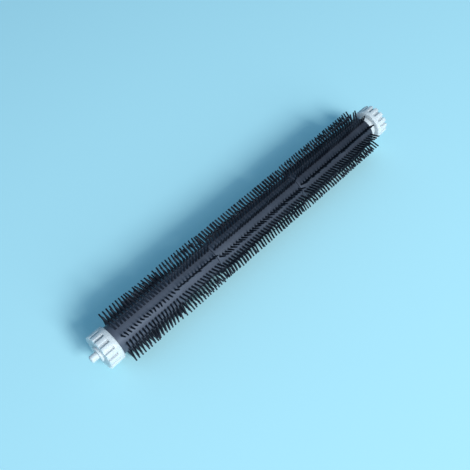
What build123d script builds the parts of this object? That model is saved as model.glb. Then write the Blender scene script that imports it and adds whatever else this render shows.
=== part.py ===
import os

from build123d import *

# A roller brush: three soft bristle sleeves on a stiff core tube, with a toothed gear and axle pin at each end.
# The left sleeve covers its gear's neck; the right one is a ring of bristles shorter and leaves the neck showing.
# The roller's axis is X, the origin is the middle of the roller, and Z points up. Sizes are in millimetres.

# Bristles
bristle_rows = 12
bristles_per_row = 31
right_bristles_per_row = 30
bristle_pitch = 3.6
bristle_sides = 3
bristle_foot = 2.6  # circle around a bristle's foot, where it leaves the sleeve
tip_diameter = 52.0  # across opposite bristle tips

# Sleeve sections
sleeve_wall = 2.1  # under the middle of a row
sleeve_clearance = 0.1  # radial, around the core tube
section_gap = 0.4  # between two sections, and between an end section and its gear
joint_margin = 2.6  # plain sleeve beyond the last bristle, towards the next section
left_margin = 6.2  # plain sleeve beyond the last bristle, towards the left gear
right_margin = 3.8  # and towards the right gear
left_turn = 9.0  # degrees that each section is turned on the tube
middle_turn = -8.5
right_turn = 14.5

# Core tube
tube_diameter = 24.0
tube_wall = 2.2

# Drive gears
gear_teeth = 15
gear_diameter = 34.0
tooth_length = 9.8
groove_mouth = 3.2
groove_root = 2.6
groove_depth = 2.6
collar_length = 4.5
neck_length = 6.0  # as thick as the core tube, between its end and the collar
rim_chamfer = 0.5
web_thickness = 4.0  # closes the hollow hub behind the boss
boss_diameter = 15.0
boss_height = 2.0

# Axle pins
pin_diameter = 7.0
pin_length = 7.2  # beyond the boss
pin_chamfer = 1.5

# Spigots that join the gears to the core tube
spigot_length = 18.0
spigot_wall = 2.4
spigot_clearance = 0.05  # radial, inside the core tube
key_count = 2
key_width = 4.0
key_length = 5.0
key_clearance = 0.1  # around each drive key in its notch

# Worked out from the sizes above
row_angle = 360 / bristle_rows
tip_radius = tip_diameter / 2
tube_radius = tube_diameter / 2
tube_bore_radius = tube_radius - tube_wall
sleeve_bore_radius = tube_radius + sleeve_clearance
sleeve_flat_radius = sleeve_bore_radius + sleeve_wall
field_length = (bristles_per_row - 1) * bristle_pitch
right_field_length = (right_bristles_per_row - 1) * bristle_pitch
left_length = left_margin + field_length + joint_margin
middle_length = joint_margin + field_length + joint_margin
right_length = joint_margin + right_field_length + right_margin
collar_span = middle_length + 2 * (left_length + 2 * section_gap)
tube_length = collar_span - 2 * neck_length

# One bristle along X, its root sunk to the middle of the sleeve's wall
root_radius = sleeve_flat_radius - sleeve_wall / 2
root_circle = bristle_foot * (tip_radius - root_radius) / (tip_radius - sleeve_flat_radius)
with BuildPart() as bristle:
    with BuildSketch(Plane.YZ.offset(root_radius)) as root:
        RegularPolygon(root_circle / 2, bristle_sides)
    loft([root.sketch.face(), Vertex(tip_radius, 0, 0)])


# A sleeve with a flat under each row, moulded in one piece with its bristles
def sleeve_section(start, length, start_margin, ring_count, turn):
    base = Plane.YZ.offset(start)
    rings = [(0, 0, start_margin + ring * bristle_pitch) for ring in range(ring_count)]
    with BuildPart(base) as section:
        with BuildSketch(base):
            RegularPolygon(sleeve_flat_radius, bristle_rows, major_radius=False, rotation=turn + row_angle / 2)
            Circle(sleeve_bore_radius, mode=Mode.SUBTRACT)
        extrude(amount=length)
        with PolarLocations(0, bristle_rows, start_angle=turn):
            with Locations(*rings):
                add(bristle.part)
    return section


middle_start = -middle_length / 2
left_start = middle_start - section_gap - left_length
right_start = middle_start + middle_length + section_gap
sleeve_left = sleeve_section(left_start, left_length, left_margin, bristles_per_row, left_turn)
sleeve_middle = sleeve_section(middle_start, middle_length, joint_margin, bristles_per_row, middle_turn)
sleeve_right = sleeve_section(right_start, right_length, joint_margin, right_bristles_per_row, right_turn)

# The core tube, with a notch through its wall at each end for every drive key
with BuildPart() as core_tube:
    with BuildSketch(Plane.YZ):
        Circle(tube_radius)
        Circle(tube_bore_radius, mode=Mode.SUBTRACT)
    extrude(amount=tube_length / 2, both=True)
    for end in (-1, 1):
        with BuildSketch(Plane.YZ.offset(end * tube_length / 2)):
            with PolarLocations(tube_radius - tube_wall / 2, key_count):
                Rectangle(2 * tube_wall, key_width + 2 * key_clearance)
        extrude(amount=-end * (key_length + key_clearance), mode=Mode.SUBTRACT)


# A gear, turned about the roller's axis from one profile, then grooved; side is -1 at the left end and 1 at the right
def drive_gear(side):
    tube_end = (side * tube_length / 2, 0, 0)
    profile_plane = Plane(tube_end, x_dir=(side, 0, 0), z_dir=(0, -side, 0))
    neck_face = Plane(tube_end, x_dir=(0, side, 0), z_dir=(side, 0, 0))

    gear_radius = gear_diameter / 2
    boss_radius = boss_diameter / 2
    pin_radius = pin_diameter / 2
    spigot_radius = tube_bore_radius - spigot_clearance
    hollow_radius = spigot_radius - spigot_wall
    outer_face = neck_length + collar_length + tooth_length
    boss_face = outer_face + boss_height
    pin_tip = boss_face + pin_length

    with BuildPart() as gear:
        with BuildSketch(profile_plane):
            with BuildLine():
                Polyline(
                    (pin_tip, 0),
                    (outer_face - web_thickness, 0),
                    (outer_face - web_thickness, hollow_radius),
                    (-spigot_length, hollow_radius),
                    (-spigot_length, spigot_radius),
                    (0, spigot_radius),
                    (0, tube_radius),
                    (neck_length, tube_radius),
                    (neck_length, gear_radius),
                    (outer_face - rim_chamfer, gear_radius),
                    (outer_face, gear_radius - rim_chamfer),
                    (outer_face, boss_radius),
                    (boss_face, boss_radius),
                    (boss_face, pin_radius),
                    (pin_tip - pin_chamfer, pin_radius),
                    (pin_tip, pin_radius - pin_chamfer),
                    close=True,
                )
            make_face()
        revolve(axis=Axis.X)

        # grooves between the teeth, one of them at the top
        with BuildSketch(neck_face.offset(outer_face)):
            with PolarLocations(gear_radius, gear_teeth, start_angle=90):
                Polygon(
                    (-groove_depth, -groove_root / 2),
                    (0, -groove_mouth / 2),
                    (groove_depth, -groove_mouth / 2),
                    (groove_depth, groove_mouth / 2),
                    (0, groove_mouth / 2),
                    (-groove_depth, groove_root / 2),
                    align=None,
                )
        extrude(amount=-tooth_length, mode=Mode.SUBTRACT)

        # drive keys on the spigot, against the neck
        with BuildSketch(neck_face):
            with PolarLocations(hollow_radius + spigot_wall / 2, key_count):
                Rectangle(2 * tube_wall + spigot_wall, key_width, align=(Align.MIN, Align.CENTER))
            Circle(tube_radius - key_clearance, mode=Mode.INTERSECT)
        extrude(amount=-key_length)
    return gear


gear_left = drive_gear(-1)
gear_right = drive_gear(1)

os.makedirs("parts", exist_ok=True)
pieces = {
    "brush_sleeve_left": sleeve_left,
    "brush_sleeve_middle": sleeve_middle,
    "brush_sleeve_right": sleeve_right,
    "core_tube": core_tube,
    "drive_gear_left": gear_left,
    "drive_gear_right": gear_right,
}
for name, piece in pieces.items():
    piece.part.label = name
    export_step(piece.part, f"parts/{name}.step")
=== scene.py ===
import math
import random

import bpy
from mathutils import Matrix, Vector


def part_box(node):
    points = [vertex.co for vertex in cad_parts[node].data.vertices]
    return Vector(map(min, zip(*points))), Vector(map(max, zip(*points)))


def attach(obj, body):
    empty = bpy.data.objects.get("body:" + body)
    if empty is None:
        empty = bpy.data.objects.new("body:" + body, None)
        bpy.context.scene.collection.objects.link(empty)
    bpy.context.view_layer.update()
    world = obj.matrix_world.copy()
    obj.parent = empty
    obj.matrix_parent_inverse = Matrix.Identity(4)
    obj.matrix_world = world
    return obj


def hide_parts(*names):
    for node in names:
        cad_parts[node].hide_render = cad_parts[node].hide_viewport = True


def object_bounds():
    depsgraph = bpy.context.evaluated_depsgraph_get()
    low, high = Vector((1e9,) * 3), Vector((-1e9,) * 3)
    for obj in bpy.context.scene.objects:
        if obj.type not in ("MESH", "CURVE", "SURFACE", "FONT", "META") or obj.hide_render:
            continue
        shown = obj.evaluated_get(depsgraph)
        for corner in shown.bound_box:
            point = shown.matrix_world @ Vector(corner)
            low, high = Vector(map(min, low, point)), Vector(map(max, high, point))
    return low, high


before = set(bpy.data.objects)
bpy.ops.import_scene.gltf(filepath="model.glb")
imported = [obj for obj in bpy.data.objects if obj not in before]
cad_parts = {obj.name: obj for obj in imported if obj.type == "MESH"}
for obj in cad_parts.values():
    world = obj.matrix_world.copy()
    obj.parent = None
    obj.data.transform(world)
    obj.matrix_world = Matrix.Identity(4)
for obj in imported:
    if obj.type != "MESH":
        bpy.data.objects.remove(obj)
cadLow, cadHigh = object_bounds()
mm = 0.001
weldDistance = 0.002 * mm
noiseMiddle = 0.5
print("frame loaded:", ", ".join(sorted(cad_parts)))

view = bpy.context.scene.view_settings
view.view_transform = "Standard"


# helpers for modelling by hand

# the vertices that pass the test, with no edge or face left selected from before
def selectPoints(piece, test):
    for part in (piece.data.polygons, piece.data.edges):
        part.foreach_set("select", [False] * len(part))
    for vertex in piece.data.vertices:
        vertex.select = test(vertex.co)


def selectOnly(piece):
    bpy.ops.object.select_all(action="DESELECT")
    piece.select_set(True)
    bpy.context.view_layer.objects.active = piece


def applyModifiers(piece):
    selectOnly(piece)
    for modifier in list(piece.modifiers):
        bpy.ops.object.modifier_apply(modifier=modifier.name)


def bakePlace(piece):
    selectOnly(piece)
    bpy.ops.object.transform_apply(location=True, rotation=True, scale=True)


def copyOf(piece, name, place):
    copy = bpy.data.objects.new(name, piece.data.copy())
    copy.matrix_world = place
    bpy.context.collection.objects.link(copy)
    return copy


def joinInto(piece, others):
    selectOnly(piece)
    for other in others:
        other.select_set(True)
    bpy.ops.object.join()


def tidyNormals(piece):
    selectOnly(piece)
    bpy.ops.object.mode_set(mode="EDIT")
    bpy.ops.mesh.select_all(action="SELECT")
    bpy.ops.mesh.remove_doubles(threshold=weldDistance)
    bpy.ops.mesh.normals_make_consistent(inside=False)
    bpy.ops.object.mode_set(mode="OBJECT")


# a line of (along, radius) points, spun round the roller's axis
def turnProfile(name, points, steps):
    bpy.ops.object.select_all(action="DESELECT")
    bpy.ops.mesh.primitive_plane_add(size=mm)
    piece = bpy.context.object
    piece.name = name
    bpy.ops.object.mode_set(mode="EDIT")
    bpy.ops.mesh.select_all(action="SELECT")
    bpy.ops.mesh.merge(type="CENTER")
    pen = Vector((points[0][0], 0, points[0][1]))
    bpy.ops.transform.translate(value=pen)
    for along, radius in points[1:]:
        target = Vector((along, 0, radius))
        bpy.ops.mesh.extrude_vertices_move(TRANSFORM_OT_translate={"value": target - pen})
        pen = target
    bpy.ops.mesh.select_all(action="SELECT")
    bpy.ops.mesh.spin(steps=steps, angle=2 * math.pi, center=(0, 0, 0), axis=(1, 0, 0))
    bpy.ops.object.mode_set(mode="OBJECT")
    tidyNormals(piece)
    return piece


def arcPoints(centre, radius, fromDegrees, toDegrees, count):
    points = []
    for step in range(count):
        angle = math.radians(fromDegrees + (toDegrees - fromDegrees) * step / (count - 1))
        points.append((centre[0] + radius * math.cos(angle), centre[1] + radius * math.sin(angle)))
    return points


# sRGB 0-255, as read off a screen, to the linear colour that sockets take
def tint(red, green, blue):
    linear = []
    for channel in (red, green, blue):
        share = channel / 255
        linear.append(share / 12.92 if share <= 0.04045 else ((share + 0.055) / 1.055) ** 2.4)
    return (*linear, 1)


# shader wiring

class Wire:
    def __init__(self, tree, socket=None):
        self.tree = tree
        self.socket = socket

    # settings go on the node first, then values or links on its sockets
    def add(self, kind, settings, sockets, output=0):
        node = self.tree.nodes.new(kind)
        for name, value in settings.items():
            setattr(node, name, value)
        for key, value in sockets.items():
            if isinstance(value, Wire):
                self.tree.links.new(value.socket, node.inputs[key])
            else:
                node.inputs[key].default_value = value
        return Wire(self.tree, node.outputs[output])

    def math(self, operation, first, second):
        return self.add("ShaderNodeMath", {"operation": operation}, {0: first, 1: second})

    def __add__(self, other):
        return self.math("ADD", self, other)

    __radd__ = __add__

    def __sub__(self, other):
        return self.math("SUBTRACT", self, other)

    def __rsub__(self, other):
        return self.math("SUBTRACT", other, self)

    def __mul__(self, other):
        return self.math("MULTIPLY", self, other)

    def __pow__(self, other):
        return self.math("POWER", self, other)


def newFinish(name):
    finish = bpy.data.materials.new(name)
    finish.use_nodes = True
    return finish, Wire(finish.node_tree), finish.node_tree.nodes["Principled BSDF"]


def plug(wire, shader, name):
    wire.tree.links.new(wire.socket, shader.inputs[name])


def plugBump(wire, shader, look, height):
    sockets = {"Strength": look["bumpStrength"], "Distance": look["bumpHeight"], "Height": height}
    plug(wire.add("ShaderNodeBump", {}, sockets), shader, "Normal")


def objectPlace(wire):
    return wire.add("ShaderNodeTexCoord", {}, {}, "Object")


def noise(wire, place, scale, detail):
    return wire.add("ShaderNodeTexNoise", {}, {"Vector": place, "Scale": scale, "Detail": detail}, "Fac")


# a noise's swing to both sides of zero
def swing(value, amount):
    return (value - noiseMiddle) * amount


def fade(wire, value, low, high):
    sockets = {"Value": value, "From Min": low, "From Max": high}
    return wire.add("ShaderNodeMapRange", {"interpolation_type": "SMOOTHSTEP"}, sockets)


# a mix node's colours are its sockets 6 and 7, and its output 2
def blendColours(wire, factor, first, second):
    return wire.add("ShaderNodeMix", {"data_type": "RGBA"}, {0: factor, 6: first, 7: second}, 2)


# distance from the roller's axis
def axisDistance(wire, place):
    parts = [wire.add("ShaderNodeSeparateXYZ", {}, {"Vector": place}, axis) for axis in ("Y", "Z")]
    return (parts[0] * parts[0] + parts[1] * parts[1]) ** 0.5


# finishes

rubberLook = {
    "dark": tint(15, 18, 27),
    "bloomAndPaintedLight": tint(86, 92, 105),     # pale colour: the bare face's own paler tone and random patches, less of it out on the bristles, and painted light at the left-hand end
    "faceTo": 14.5 * mm,            # distance from the axis that still counts as the bare face
    "stemFrom": 16 * mm,            # and the one from which it is all bristle
    "paintedLightFrom": 120 * mm,           # along the axis, where the painted light thins out towards the right-hand end
    "paintedLightTo": -150 * mm,
    # the bare face's own paler tone; the next two add painted light at the left-hand end
    "faceBloomAndPaintedLight": 0.30,
    "facePaintedLightNear": 0.47,          # painted light, added to it at the left-hand end
    # painted light on the bristles at the left-hand end
    "stemPaintedLightNear": 0.05,
    "patchBloom": 0.12,
    "patchRange": (0.42, 0.72),
    "patchScale": 55,
    "patchDetail": 3.0,
    "grainScale": 1600,
    "grainDetail": 2.0,
    "roughness": 0.44,
    "patchRoughness": 0.18,
    "grainRoughness": 0.10,
    "bumpStrength": 0.25,
    "bumpHeight": 0.1 * mm,
    "specular": 0.25,
    "sheen": (0.68, 0.81, 1.0, 1),
}


def rubberFinish():
    look = rubberLook
    finish, wire, shader = newFinish("bristleRubber")
    place = objectPlace(wire)
    patches = noise(wire, place, look["patchScale"], look["patchDetail"])
    grain = noise(wire, place, look["grainScale"], look["grainDetail"])
    stem = fade(wire, axisDistance(wire, place), look["faceTo"], look["stemFrom"])
    along = wire.add("ShaderNodeSeparateXYZ", {}, {"Vector": place}, "X")
    # painted light: the left-hand end is painted paler, on the face and a little on the bristles, for the
    # light and sheen that fall off along the roller
    paintedLightNear = fade(wire, along, look["paintedLightFrom"], look["paintedLightTo"])
    faceBloomAndPaintedLight = (1 - stem) * (look["faceBloomAndPaintedLight"] + paintedLightNear * look["facePaintedLightNear"])
    stemPaintedLight = stem * paintedLightNear * look["stemPaintedLightNear"]
    patchBloom = fade(wire, patches, *look["patchRange"]) * look["patchBloom"]
    bloomAndPaintedLight = faceBloomAndPaintedLight + stemPaintedLight + patchBloom
    plug(blendColours(wire, bloomAndPaintedLight, look["dark"], look["bloomAndPaintedLight"]), shader, "Base Color")
    uneven = swing(patches, look["patchRoughness"]) + swing(grain, look["grainRoughness"])
    plug(look["roughness"] + uneven, shader, "Roughness")
    plugBump(wire, shader, look, grain)
    shader.inputs["Specular IOR Level"].default_value = look["specular"]
    shader.inputs["Specular Tint"].default_value = look["sheen"]
    return finish


gearLook = {
    "white": tint(205, 208, 210),
    "paintedShadeAndFlowTone": tint(194, 199, 203),   # painted shade down in the grooves and nearer the axis, and the flow lines' own darker tone
    "grooveRoot": 14.3 * mm,        # distance from the axis up to which the shade is painted
    "grooveTop": 16.4 * mm,         # and the one from which it is white
    "paintedGrooveShade": 0.40,
    "flowShade": 0.25,
    "flowRange": (0.45, 0.75),
    "flowScale": 90,
    "flowDetail": 4.0,
    "grainScale": 1400,
    "grainDetail": 2.0,
    "roughness": 0.46,
    "flowRoughness": 0.16,
    "grainRoughness": 0.06,
    "bumpStrength": 0.12,
    "bumpHeight": 0.08 * mm,
    "subsurface": 0.9,
    "subsurfaceRadius": (1, 1, 1),
    "subsurfaceDepth": 6 * mm,
}


def gearFinish():
    look = gearLook
    finish, wire, shader = newFinish("gearPlastic")
    place = objectPlace(wire)
    flow = noise(wire, place, look["flowScale"], look["flowDetail"])
    grain = noise(wire, place, look["grainScale"], look["grainDetail"])
    raised = fade(wire, axisDistance(wire, place), look["grooveRoot"], look["grooveTop"])
    # painted shade in the grooves and on everything nearer the axis
    paintedGrooveShade = (1 - raised) * look["paintedGrooveShade"]
    flowShade = fade(wire, flow, *look["flowRange"]) * look["flowShade"]
    plug(blendColours(wire, paintedGrooveShade + flowShade, look["white"], look["paintedShadeAndFlowTone"]), shader, "Base Color")
    uneven = swing(flow, look["flowRoughness"]) + swing(grain, look["grainRoughness"])
    plug(look["roughness"] + uneven, shader, "Roughness")
    plugBump(wire, shader, look, grain)
    shader.inputs["Subsurface Weight"].default_value = look["subsurface"]
    shader.inputs["Subsurface Radius"].default_value = look["subsurfaceRadius"]
    shader.inputs["Subsurface Scale"].default_value = look["subsurfaceDepth"]
    return finish


coreLook = {
    "dark": tint(34, 36, 40),
    "scuffed": tint(66, 68, 72),
    "scuffScale": 240,
    "scuffDetail": 5.0,
    "scuffRange": (0.5, 0.8),
    "scuffShare": 0.6,
    "roughness": 0.48,
    "scuffRoughness": 0.15,
}


def coreFinish():
    look = coreLook
    finish, wire, shader = newFinish("corePlastic")
    place = objectPlace(wire)
    scuffs = fade(wire, noise(wire, place, look["scuffScale"], look["scuffDetail"]), *look["scuffRange"])
    worn = scuffs * look["scuffShare"]
    plug(blendColours(wire, worn, look["dark"], look["scuffed"]), shader, "Base Color")
    plug(look["roughness"] + scuffs * look["scuffRoughness"], shader, "Roughness")
    return finish


rubber = rubberFinish()
gearPlastic = gearFinish()
corePlastic = coreFinish()
print("finishes ready")


# bristles

bristleStyle = {
    "sides": 7,
    "sunk": 0.7 * mm,           # root below the sleeve's face
    "footRadius": 1.25 * mm,    # flared where it is moulded into the sleeve
    "footHeight": 0.9 * mm,
    "flareHeight": 0.3,         # share of the foot's height
    "flareRadius": 0.88,        # share of its radius that is left there
    "stemRadius": 0.95 * mm,    # just above the foot
    "endRadius": 0.75 * mm,     # just under the blunt tip
    "stemRings": 3,
    "tipRound": 0.45 * mm,
    "tipRings": ((0.25, 0.72), (0.0, 0.32)),  # share of tipRound below the tip, share of endRadius there
    "bends": (0.0, 0.2, 0.4, 0.6, 0.9),       # sideways sag of the tip, in mm, one model each
}


# one bristle along Z, standing on the sleeve's face at the origin, its tip curved towards +X
def modelBristle(name, length, bend):
    style = bristleStyle
    stemTop = length - style["tipRound"]
    rings = [(style["footHeight"] * style["flareHeight"], style["footRadius"] * style["flareRadius"])]
    for ring in range(style["stemRings"] + 1):
        share = ring / style["stemRings"]
        height = style["footHeight"] + (stemTop - style["footHeight"]) * share
        rings.append((height, style["stemRadius"] + (style["endRadius"] - style["stemRadius"]) * share))
    for below, share in style["tipRings"]:
        rings.append((length - style["tipRound"] * below, style["endRadius"] * share))

    bpy.ops.object.select_all(action="DESELECT")
    pen = Vector((0, 0, -style["sunk"]))
    bpy.ops.mesh.primitive_circle_add(
        vertices=style["sides"], radius=style["footRadius"], fill_type="NGON", location=pen
    )
    piece = bpy.context.object
    piece.name = name
    bakePlace(piece)
    bpy.ops.object.mode_set(mode="EDIT")
    bpy.ops.mesh.select_all(action="SELECT")
    lastRadius = style["footRadius"]
    for height, radius in rings:
        target = Vector((bend * (height / length) ** 2, 0, height))
        bpy.ops.mesh.extrude_region_move(TRANSFORM_OT_translate={"value": target - pen})
        ratio = radius / lastRadius
        bpy.ops.transform.resize(value=(ratio, ratio, 1), center_override=target)
        pen = target
        lastRadius = radius
    bpy.ops.object.mode_set(mode="OBJECT")
    tidyNormals(piece)
    selectOnly(piece)
    bpy.ops.object.shade_smooth()
    return piece


# sleeves

sleeveStyle = {
    "rows": 12,
    "pitch": 3.6 * mm,
    "tipRadius": 26 * mm,
    "faceRadius": 14.4 * mm,
    "boreRadius": 12.1 * mm,
    "endRound": 0.5 * mm,
    "endPoints": 4,             # of the profile, round each end's edge
    "steps": 72,
    "smoothDegrees": 40,
    "shortest": 0.965,          # bristle lengths vary down to this share
    "swayDegrees": 0.8,         # slow sway along a row, made of a few waves
    "swayWaves": 2,
    "swayPace": (0.25, 0.9),    # radians from one ring to the next
    "strayDegrees": 0.5,        # each bristle's own lean
    "leanChange": (0.4, 0.65),  # where a combed row's lean changes, in shares of the way to its parting
    "standUp": (1.0, 1.2),      # and where its bristles stand up again
    "seed": 23,
}


def smoothStep(low, high, value):
    share = min(max((value - low) / (high - low), 0), 1)
    return share * share * (3 - 2 * share)


# turn is in degrees; margin is the plain sleeve before the first ring of bristles
# rows are counted from the top, round towards -Y
# a combed row leans towards +X by the first number of degrees at its start and by the second up to the
# parting ring, and bows towards the next row by the third; past the parting it stands up
# a parting beyond the last ring leaves the whole row combed
sleeves = {
    "brush_sleeve_left": {
        "piece": "bristleSleeveLeft",
        "turn": 9.0,
        "margin": 6.2 * mm,
        "rings": 31,
        "combed": {
            9: (14, 1, 0),
            10: (0, -20, 0),
            11: (-13.5, -18, 0),
            0: (-12, -18, 0),
            1: (-6, -14, 10),
            2: (-12, -18, 0),
            3: (-13, -20, 0),
            4: (0, -22, 0),
            5: (13.5, 3, 0),
        },
        "parting": 15,
    },
    "brush_sleeve_middle": {
        "piece": "bristleSleeveMiddle",
        "turn": -8.5,
        "margin": 2.6 * mm,
        "rings": 31,
        "combed": {
            4: (-15, -15, 0),
            11: (-15, -15, 0),
        },
        "parting": 40,
    },
    "brush_sleeve_right": {
        "piece": "bristleSleeveRight",
        "turn": 14.5,
        "margin": 2.6 * mm,
        "rings": 30,
        "combed": {},
    },
}


# the plain sleeve under the bristles
def modelSleeveBody(name, start, end):
    style = sleeveStyle
    inner = style["boreRadius"]
    outer = style["faceRadius"]
    soft = style["endRound"]
    profile = [(start, inner)]
    profile += arcPoints((start + soft, outer - soft), soft, 180, 90, style["endPoints"])
    profile += arcPoints((end - soft, outer - soft), soft, 90, 0, style["endPoints"])
    profile += [(end, inner), (start, inner)]
    piece = turnProfile(name, profile, style["steps"])
    selectOnly(piece)
    bpy.ops.object.shade_smooth_by_angle(angle=math.radians(style["smoothDegrees"]))
    return piece


# a combed bristle's lean along the axis and bow across it, in degrees
def combedLean(own, row, ring):
    style = sleeveStyle
    if row not in own["combed"]:
        return 0, 0
    first, last, bow = own["combed"][row]
    share = ring / own["parting"]
    lean = first + (last - first) * smoothStep(*style["leanChange"], share)
    combed = 1 - smoothStep(*style["standUp"], share)
    return lean * combed, bow * combed


def modelSleeve(node, models, draw):
    style = sleeveStyle
    own = sleeves[node]
    low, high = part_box(node)
    body = modelSleeveBody(own["piece"], low[0], high[0])
    firstRing = low[0] + own["margin"]
    stand = Matrix.Translation((0, 0, style["faceRadius"]))
    copies = []
    for row in range(style["rows"]):
        rowAngle = math.radians(own["turn"] + row * 360 / style["rows"])
        waves = []
        for wave in range(style["swayWaves"]):
            pace = draw.uniform(*style["swayPace"])
            phase = draw.uniform(0, 2 * math.pi)
            waves.append((pace, phase))
        for ring in range(own["rings"]):
            sway = sum(math.sin(pace * ring + phase) for pace, phase in waves) / len(waves)
            along = style["swayDegrees"] * sway + draw.gauss(0, style["strayDegrees"])
            across = draw.gauss(0, style["strayDegrees"])
            combedAlong, combedAcross = combedLean(own, row, ring)
            along += combedAlong
            across += combedAcross
            spin = draw.uniform(0, 2 * math.pi)
            model = draw.choice(models)
            reach = draw.uniform(style["shortest"], 1)
            place = Matrix.Translation((firstRing + ring * style["pitch"], 0, 0))
            place = place @ Matrix.Rotation(rowAngle, 4, "X") @ stand
            place = place @ Matrix.Rotation(math.radians(along), 4, "Y")
            place = place @ Matrix.Rotation(math.radians(across), 4, "X")
            place = place @ Matrix.Rotation(spin, 4, "Z") @ Matrix.Diagonal((1, 1, reach, 1))
            copies.append(copyOf(model, "bristle", place))
    joinInto(body, copies)
    body.data.materials.clear()
    body.data.materials.append(rubber)
    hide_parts(node)
    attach(body, "root")
    print(own["piece"], "has", len(copies), "bristles")


bristleLength = sleeveStyle["tipRadius"] - sleeveStyle["faceRadius"]
bristleModels = [
    modelBristle(f"bristleModel{index}", bristleLength, bend * mm)
    for index, bend in enumerate(bristleStyle["bends"])
]
draw = random.Random(sleeveStyle["seed"])
for node in sleeves:
    modelSleeve(node, bristleModels, draw)
for model in bristleModels:
    bpy.data.objects.remove(model)


# drive gears

gearStyle = {
    "steps": 60,
    "teeth": 15,
    "radius": 17 * mm,
    "neck": 6 * mm,
    "neckRadius": 12 * mm,
    "collar": 4.5 * mm,
    "toothLength": 9.8 * mm,
    "grooveMouth": 3.2 * mm,
    "grooveRoot": 2.6 * mm,
    "grooveDepth": 2.6 * mm,
    "bossRadius": 7.5 * mm,
    "bossHeight": 2 * mm,
    "pinRadius": 3.5 * mm,
    "pinLength": 7.2 * mm,
    "pinRound": 1.7 * mm,
    "pinPoints": 6,             # of the profile, round the pin's end
    "web": 4 * mm,
    "spigotLength": 18 * mm,
    "spigotRadius": 9.75 * mm,
    "spigotWall": 2.4 * mm,
    "keys": 2,
    "keyWidth": 4 * mm,
    "keyLength": 5 * mm,
    "keyReach": 11.9 * mm,      # from the axis
    "overRun": 1 * mm,          # how far the groove and key blocks go past the faces they meet
    "edge": 0.38 * mm,
    "edgeSegments": 3,
    "edgeDegrees": 35,          # sharper corners than this are softened
    "smoothDegrees": 38,
}


# a block that starts as a cube and tapers towards the axis, copied round it from the top
def modelRing(name, count, along, radii, widths, turn=0.0):
    bpy.ops.object.select_all(action="DESELECT")
    bpy.ops.mesh.primitive_cube_add(size=1)
    block = bpy.context.object
    block.name = name
    block.scale = (along[1] - along[0], widths[1], radii[1] - radii[0])
    block.location = ((along[0] + along[1]) / 2, 0, (radii[0] + radii[1]) / 2)
    bakePlace(block)
    selectPoints(block, lambda point: point.z < (radii[0] + radii[1]) / 2)
    bpy.ops.object.mode_set(mode="EDIT")
    taper = widths[0] / widths[1]
    bpy.ops.transform.resize(value=(1, taper, 1), center_override=(0, 0, 0))
    bpy.ops.object.mode_set(mode="OBJECT")
    copies = []
    for index in range(1, count):
        copies.append(copyOf(block, name, Matrix.Rotation(2 * math.pi * index / count, 4, "X")))
    joinInto(block, copies)
    block.matrix_world = Matrix.Rotation(turn, 4, "X")
    bakePlace(block)
    return block


# cuts the tool away or adds it, and the tool is used up
def combine(piece, tool, operation):
    modifier = piece.modifiers.new(operation.lower(), "BOOLEAN")
    modifier.operation = operation
    modifier.solver = "EXACT"
    modifier.object = tool
    applyModifiers(piece)
    bpy.data.objects.remove(tool)


# the right-hand gear, its neck against the end of the core tube
def modelGear(name, neckFace):
    style = gearStyle
    collarFace = neckFace + style["neck"]
    outerFace = collarFace + style["collar"] + style["toothLength"]
    bossFace = outerFace + style["bossHeight"]
    pinTip = bossFace + style["pinLength"]
    hollow = style["spigotRadius"] - style["spigotWall"]
    spigotEnd = neckFace - style["spigotLength"]
    roundCentre = (pinTip - style["pinRound"], style["pinRadius"] - style["pinRound"])
    profile = [(pinTip, 0)]
    profile += arcPoints(roundCentre, style["pinRound"], 0, 90, style["pinPoints"])
    profile += [
        (bossFace, style["pinRadius"]),
        (bossFace, style["bossRadius"]),
        (outerFace, style["bossRadius"]),
        (outerFace, style["radius"]),
        (collarFace, style["radius"]),
        (collarFace, style["neckRadius"]),
        (neckFace, style["neckRadius"]),
        (neckFace, style["spigotRadius"]),
        (spigotEnd, style["spigotRadius"]),
        (spigotEnd, hollow),
        (outerFace - style["web"], hollow),
        (outerFace - style["web"], 0),
    ]
    gear = turnProfile(name, profile, style["steps"])

    # grooves between the teeth, one of them at the top
    grooveFrom = collarFace + style["collar"]
    rootRadius = style["radius"] - style["grooveDepth"]
    slope = (style["grooveMouth"] - style["grooveRoot"]) / style["grooveDepth"]
    overRun = style["overRun"]
    grooveWidths = (style["grooveRoot"], style["grooveMouth"] + slope * overRun)
    grooves = modelRing(
        "grooves",
        style["teeth"],
        (grooveFrom, outerFace + overRun),
        (rootRadius, style["radius"] + overRun),
        grooveWidths,
    )
    combine(gear, grooves, "DIFFERENCE")

    # drive keys on the spigot, against the neck
    keys = modelRing(
        "keys",
        style["keys"],
        (neckFace - style["keyLength"], neckFace + overRun),
        (hollow + style["spigotWall"] / 2, style["keyReach"]),
        (style["keyWidth"], style["keyWidth"]),
        math.pi / 2,
    )
    combine(gear, keys, "UNION")

    softEdges = gear.modifiers.new("softEdges", "BEVEL")
    softEdges.width = style["edge"]
    softEdges.segments = style["edgeSegments"]
    softEdges.limit_method = "ANGLE"
    softEdges.angle_limit = math.radians(style["edgeDegrees"])
    applyModifiers(gear)
    tidyNormals(gear)
    selectOnly(gear)
    bpy.ops.object.shade_smooth_by_angle(angle=math.radians(style["smoothDegrees"]))
    gear.data.materials.clear()
    gear.data.materials.append(gearPlastic)
    return gear


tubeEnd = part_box("core_tube")[1][0]
gearRight = modelGear("driveGearRight", tubeEnd)
gearLeft = copyOf(gearRight, "driveGearLeft", Matrix.Rotation(math.pi, 4, "Z"))
bakePlace(gearLeft)
for gear, node in ((gearRight, "drive_gear_right"), (gearLeft, "drive_gear_left")):
    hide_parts(node)
    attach(gear, "root")
    print(gear.name, "has", len(gear.data.polygons), "faces")

# core tube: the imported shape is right, so it only gets its finish
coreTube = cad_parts["core_tube"]
coreTube.data.materials.clear()
coreTube.data.materials.append(corePlastic)


# floor, light and camera

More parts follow.
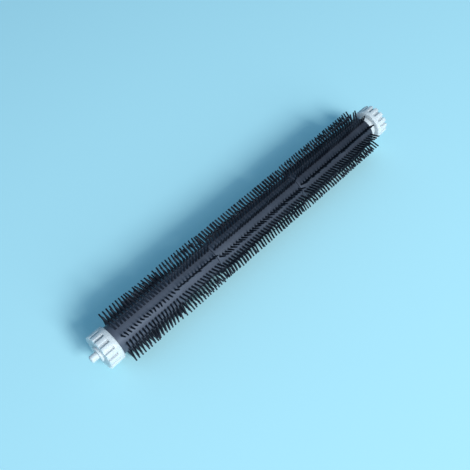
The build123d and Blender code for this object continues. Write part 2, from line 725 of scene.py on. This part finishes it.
stageLook = {
    "floorColour": tint(195, 245, 254),
    "floorSize": 12.0,
    "floorRoughness": 0.75,
    "floorSpecular": 0.15,
    "fibreScale": 900,
    "fibreDetail": 3.0,
    "fibreRoughness": 0.1,
    "worldColour": (0.37, 0.70, 1.0, 1),
    "worldStrength": 0.405,
}

# places and sizes are in metres and power is in watts
# the key is small enough to draw the bristles' shadows on the sleeves; the fill is a wide screen behind it
lamps = {
    "key": {
        "place": (-0.32, -3.08, 1.86),
        "size": (0.90, 0.95),
        "power": 99.0,
        "colour": (0.94, 0.985, 0.99),
    },
    "fill": {
        "place": (-0.90, -4.22, 1.95),
        "size": (2.4, 2.4),
        "power": 99.0,
        "colour": (0.94, 0.985, 0.99),
    },
}


def buildFloor():
    look = stageLook
    finish, wire, shader = newFinish("floorPaper")
    fibres = noise(wire, objectPlace(wire), look["fibreScale"], look["fibreDetail"])
    shader.inputs["Base Color"].default_value = look["floorColour"]
    plug(look["floorRoughness"] + swing(fibres, look["fibreRoughness"]), shader, "Roughness")
    shader.inputs["Specular IOR Level"].default_value = look["floorSpecular"]
    bpy.ops.object.select_all(action="DESELECT")
    bpy.ops.mesh.primitive_plane_add(size=look["floorSize"], location=(0, 0, cadLow.z))
    floor = bpy.context.object
    floor.name = "floor"
    bakePlace(floor)
    floor.data.materials.append(finish)


def buildLight():
    look = stageLook
    world = bpy.data.worlds.new("studio")
    world.use_nodes = True
    background = world.node_tree.nodes["Background"]
    background.inputs["Color"].default_value = look["worldColour"]
    background.inputs["Strength"].default_value = look["worldStrength"]
    bpy.context.scene.world = world
    for name, own in lamps.items():
        lamp = bpy.data.lights.new(name, "AREA")
        lamp.shape = "RECTANGLE"
        lamp.size, lamp.size_y = own["size"]
        lamp.energy = own["power"]
        lamp.color = own["colour"]
        softbox = bpy.data.objects.new(name, lamp)
        place = Vector(own["place"])
        softbox.location = place
        softbox.rotation_euler = (-place).to_track_quat("-Z", "Y").to_euler()
        bpy.context.collection.objects.link(softbox)


cameraFit = {
    "target": Vector((-22.0, 2.3, 0.0)) * mm,
    "distance": 646 * mm,
    "turn": 38.56,         # degrees from looking along +Y towards +X
    "down": 48.34,         # degrees below level
    "roll": -9.53,         # degrees
    "focalPixels": 687,    # focal length in pixels of the 470 pixel wide picture
    "imagePixels": 470,
    "sensor": 36,          # width in millimetres, as Blender takes it
    "clipStart": 10 * mm,
}


def buildCamera():
    fit = cameraFit
    turn = math.radians(fit["turn"])
    down = math.radians(fit["down"])
    roll = math.radians(fit["roll"])
    level = Vector((math.sin(turn), math.cos(turn), 0))
    ahead = level * math.cos(down) + Vector((0, 0, -1)) * math.sin(down)
    right = Vector((math.cos(turn), -math.sin(turn), 0))
    up = right.cross(ahead)
    rolledRight = right * math.cos(roll) + up * math.sin(roll)
    rolledUp = up * math.cos(roll) - right * math.sin(roll)
    lens = bpy.data.cameras.new("camera")
    lens.sensor_width = fit["sensor"]
    lens.lens = fit["focalPixels"] / fit["imagePixels"] * fit["sensor"]
    lens.clip_start = fit["clipStart"]
    camera = bpy.data.objects.new("camera", lens)
    axes = Matrix((rolledRight, rolledUp, -ahead)).transposed().to_4x4()
    camera.matrix_world = Matrix.Translation(fit["target"] - ahead * fit["distance"]) @ axes
    bpy.context.collection.objects.link(camera)
    bpy.context.scene.camera = camera


buildFloor()
buildLight()
buildCamera()
print("floor, light and camera set")
